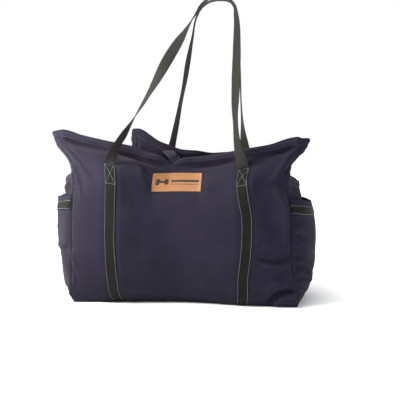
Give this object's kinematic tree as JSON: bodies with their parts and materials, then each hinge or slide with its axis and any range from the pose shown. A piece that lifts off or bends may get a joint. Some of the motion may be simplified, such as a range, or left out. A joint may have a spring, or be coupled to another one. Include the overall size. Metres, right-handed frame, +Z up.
{
  "type": "pet carrier bag",
  "caption": "Soft canvas tote for carrying a small pet, with two long webbing handle loops, end pockets, a snap tab and a lift-out padded base mat.",
  "frame": {"origin": "on the floor, under the middle of the whole bag's box", "axes": "+Z up, +X along the bag's length to the right of someone facing the label, the label's side faces -Y"},
  "size_m": [0.6053, 0.2785, 0.6863],
  "materials": {
    "navy_canvas": "matte plain-weave navy canvas with double topstitching",
    "grey_lining": "smooth dark grey lining and mat cover",
    "black_webbing": "ribbed black flat webbing",
    "tan_leather": "smooth tan leather patch",
    "black_board": "black stiffening sheet",
    "magnet_steel": "plated magnet case"
  },
  "bodies": {
    "bag": {"front_panel": "navy_canvas", "back_panel": "navy_canvas", "left_end_panel": "navy_canvas", "right_end_panel": "navy_canvas", "base_panel": "navy_canvas", "front_facing": "navy_canvas", "back_facing": "navy_canvas", "left_end_facing": "navy_canvas", "right_end_facing": "navy_canvas", "left_pocket": "navy_canvas", "right_pocket": "navy_canvas", "front_lining": "grey_lining", "back_lining": "grey_lining", "left_end_lining": "grey_lining", "right_end_lining": "grey_lining", "front_left_webbing": "black_webbing", "front_right_webbing": "black_webbing", "back_left_webbing": "black_webbing", "back_right_webbing": "black_webbing", "left_pocket_binding": "black_webbing", "right_pocket_binding": "black_webbing", "label": "tan_leather", "base_board": "black_board", "rim_magnet": "magnet_steel"},
    "front_handle": {"front_handle": "black_webbing"},
    "back_handle": {"back_handle": "black_webbing"},
    "closure_tab": {"closure_tab": "navy_canvas", "tab_magnet": "magnet_steel"},
    "base_mat": {"base_mat": "grey_lining"}
  },
  "joints": [
    {"name": "front_handle_swing", "type": "hinge", "parent": "bag", "child": "front_handle", "pos_m": [-0.00875, -0.09975, 0.3105], "axis": [0.9978, 0.0591, -0.0304], "range_deg": [0, 130]},
    {"name": "back_handle_swing", "type": "hinge", "parent": "bag", "child": "back_handle", "pos_m": [0.0445, 0.0955, 0.29875], "axis": [-1, -0.0051, 0.0076], "range_deg": [0, 130]},
    {"name": "closure_tab_lift", "type": "hinge", "parent": "bag", "child": "closure_tab", "pos_m": [-0.046, 0.0365, 0.337], "axis": [-1, 0, 0], "range_deg": [0, 110]},
    {"name": "base_mat_lift", "type": "slide", "parent": "bag", "child": "base_mat", "axis": [0, 0, 1], "range_m": [0, 0.05]}
  ]
}
